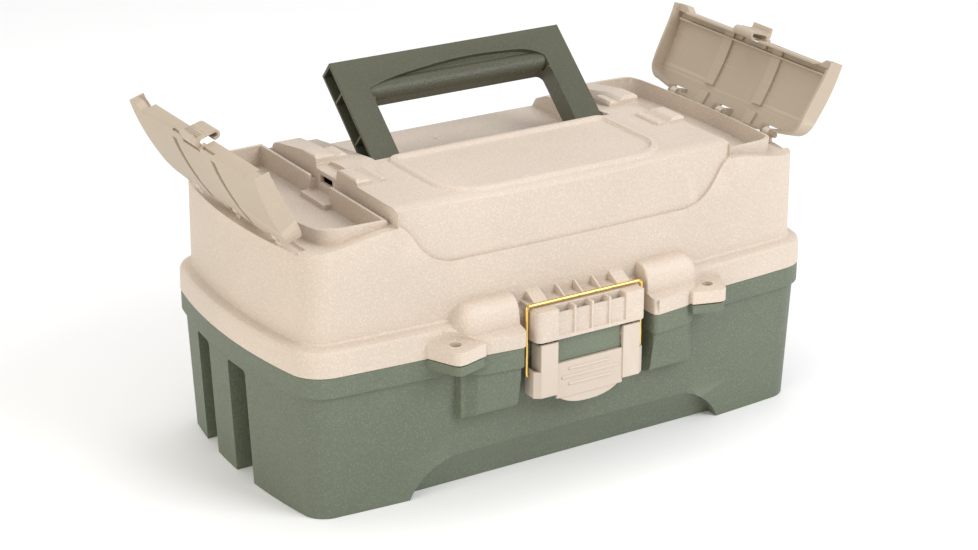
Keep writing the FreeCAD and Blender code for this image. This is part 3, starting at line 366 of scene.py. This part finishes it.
def beveled(piece, width):
    """The piece's mesh with its weighted edges rounded."""
    bevel = piece.modifiers.new("bevel", "BEVEL")
    bevel.width = width
    bevel.segments = BEVEL_STEPS
    bevel.limit_method = "WEIGHT"
    bevel.use_clamp_overlap = False
    depsgraph = bpy.context.evaluated_depsgraph_get()
    mesh = bpy.data.meshes.new_from_object(piece.evaluated_get(depsgraph))
    piece.modifiers.clear()
    return mesh


def flatten(piece):
    """Keep large faces flat in the shading."""
    smooth(piece.data)
    flat = piece.modifiers.new("flat faces", "WEIGHTED_NORMAL")
    flat.keep_sharp = True
    return apply_modifiers(piece)


def merged(source, flaws, name=None):
    """The CAD mesh with its flat triangles joined into faces, except around flaws."""
    bm = bmesh.new()
    bm.from_mesh(source)
    bmesh.ops.remove_doubles(bm, verts=bm.verts, dist=SAME_PLACE)
    edges = bm.edges
    if flaws:
        edges = [edge for edge in bm.edges
                 if min(flaws[-1].find(corner.co)[2] for corner in edge.verts) > FLAW_REACH]
    bmesh.ops.dissolve_limit(bm, angle_limit=math.radians(FLAT), verts=[], edges=edges)
    if name is None:
        return bm
    mesh = bpy.data.meshes.new(name)
    bm.to_mesh(mesh)
    bm.free()
    return mesh


def refined(node, width):
    """The CAD node's shape with every moulded edge rounded."""
    source = frame["nodes"][node].data
    mesh = merged(source, [], node + "_looks")
    slot = next(p["material_slot"] for p in frame["record"]["subparts"] if p["node"] == node)
    piece = add_piece(node + "_moulded", mesh, BODY_OF[node], slot, [node])
    if not width:
        smooth(mesh)
        return piece
    flaws = []
    for _ in range(TRIES):
        bm = merged(source, flaws)
        set_roundness(bm, mm(width), flaws)
        bm.to_mesh(mesh)
        bm.free()
        rounded = beveled(piece, mm(width))
        table, count = flaws_between(source, rounded, mm(width))
        if not count:
            break
        flaws.append(table)
    piece.data = rounded
    return flatten(piece)


# radius of each node's moulded edges, in millimetres
EDGES = {"base_tub": 0.6, "lid_shell": 0.6, "left_door": 0.4, "right_door": 0.4,
         "left_door_catch": 0.2, "right_door_catch": 0.2, "handle": 0.8, "latch_lever": 0.4,
         "latch_bail": 0, "lower_tray": 0.35, "upper_tray": 0.35, "lower_tray_dividers": 0.3,
         "upper_tray_dividers": 0.3, "left_tray_arm": 0.4, "right_tray_arm": 0.4,
         "left_lid_arm": 0.4, "right_lid_arm": 0.4, "lid_hinge_pins": 0.2,
         "lower_tray_rivets": 0.2, "upper_tray_rivets": 0.2, "base_rivets": 0.2,
         "lid_arm_rivets": 0.2}
for node, width in EDGES.items():
    refined(node, width)


GATE_MARK = {"radius": 3.3, "taper": 0.3, "height": 0.8, "lip": 0.8, "sunk": 0.35}


def gate_mark(place):
    """Small round moulding mark with a sunk middle, on the floor of the handle well."""
    mesh = bpy.data.meshes.new("well_gate_mark")
    bm = bmesh.new()
    bmesh.ops.create_cone(bm, cap_ends=True, segments=64,
                          radius1=mm(GATE_MARK["radius"]),
                          radius2=mm(GATE_MARK["radius"] - GATE_MARK["taper"]),
                          depth=mm(GATE_MARK["height"]))
    top = max(bm.faces, key=lambda face: face.calc_center_median().z)
    bmesh.ops.inset_individual(bm, faces=[top], thickness=mm(GATE_MARK["lip"]))
    bmesh.ops.translate(bm, verts=top.verts, vec=(0, 0, mm(-GATE_MARK["sunk"])))
    bmesh.ops.translate(bm, verts=bm.verts, vec=[mm(value) for value in place])
    bm.to_mesh(mesh)
    bm.free()
    smooth(add_piece("well_gate_mark", mesh, "lid", "cream_shell").data)


gate_mark((-3.0, 69.0, 179.4))


# ---------------------------------------------------------------- stage
def stage():
    """A plain pale floor."""
    mesh = bpy.data.meshes.new("floor")
    bm = bmesh.new()
    bmesh.ops.create_grid(bm, x_segments=1, y_segments=1, size=6.0)
    bm.to_mesh(mesh)
    bm.free()
    floor = bpy.data.objects.new("floor", mesh)
    bpy.context.scene.collection.objects.link(floor)
    material, tree, shader = node_tree("pale_floor")
    shader.inputs["Base Color"].default_value = (0.93, 0.93, 0.93, 1)
    shader.inputs["Roughness"].default_value = 0.7
    mesh.materials.append(material)


def area_light(name, place, aim, size, power, colour=(1, 1, 1)):
    """A soft rectangular studio light, in watts."""
    data = bpy.data.lights.new(name, "AREA")
    data.shape = "RECTANGLE"
    data.size, data.size_y = size
    data.energy = power
    data.color = colour
    lamp = bpy.data.objects.new(name, data)
    lamp.location = place
    lamp.rotation_euler = (Vector(aim) - Vector(place)).to_track_quat("-Z", "Y").to_euler()
    bpy.context.scene.collection.objects.link(lamp)


def lights():
    """An even white surround, a key light in front, a warm side light and a top light."""
    world = bpy.data.worlds.new("studio")
    bpy.context.scene.world = world
    world.use_nodes = True
    world.node_tree.nodes["Background"].inputs["Color"].default_value = (1, 1, 1, 1)
    world.node_tree.nodes["Background"].inputs["Strength"].default_value = 0.75
    area_light("key", (0.8, -1.5, 1.3), (0, 0, 0.1), (1.1, 1.1), 25, (0.99, 1.0, 1.03))
    area_light("side", (-1.6, -0.5, 0.8), (0, 0, 0.1), (0.9, 0.9), 10, (1.0, 0.93, 0.79))
    area_light("top", (0.1, 0.4, 1.9), (0, 0, 0.1), (1.4, 1.0), 8.5)


def camera():
    """A long lens from the front left, above the lid."""
    data = bpy.data.cameras.new("camera")
    data.sensor_width = 36.0
    data.lens = 87.8
    data.clip_start = 0.05
    view = bpy.data.objects.new("camera", data)
    view.location = (-0.8054, -1.2970, 0.7127)
    view.rotation_euler = (math.radians(68.09), math.radians(-0.09), math.radians(-31.68))
    bpy.context.scene.collection.objects.link(view)
    bpy.context.scene.camera = view


stage()
lights()
camera()
bpy.context.scene.view_settings.view_transform = "Standard"
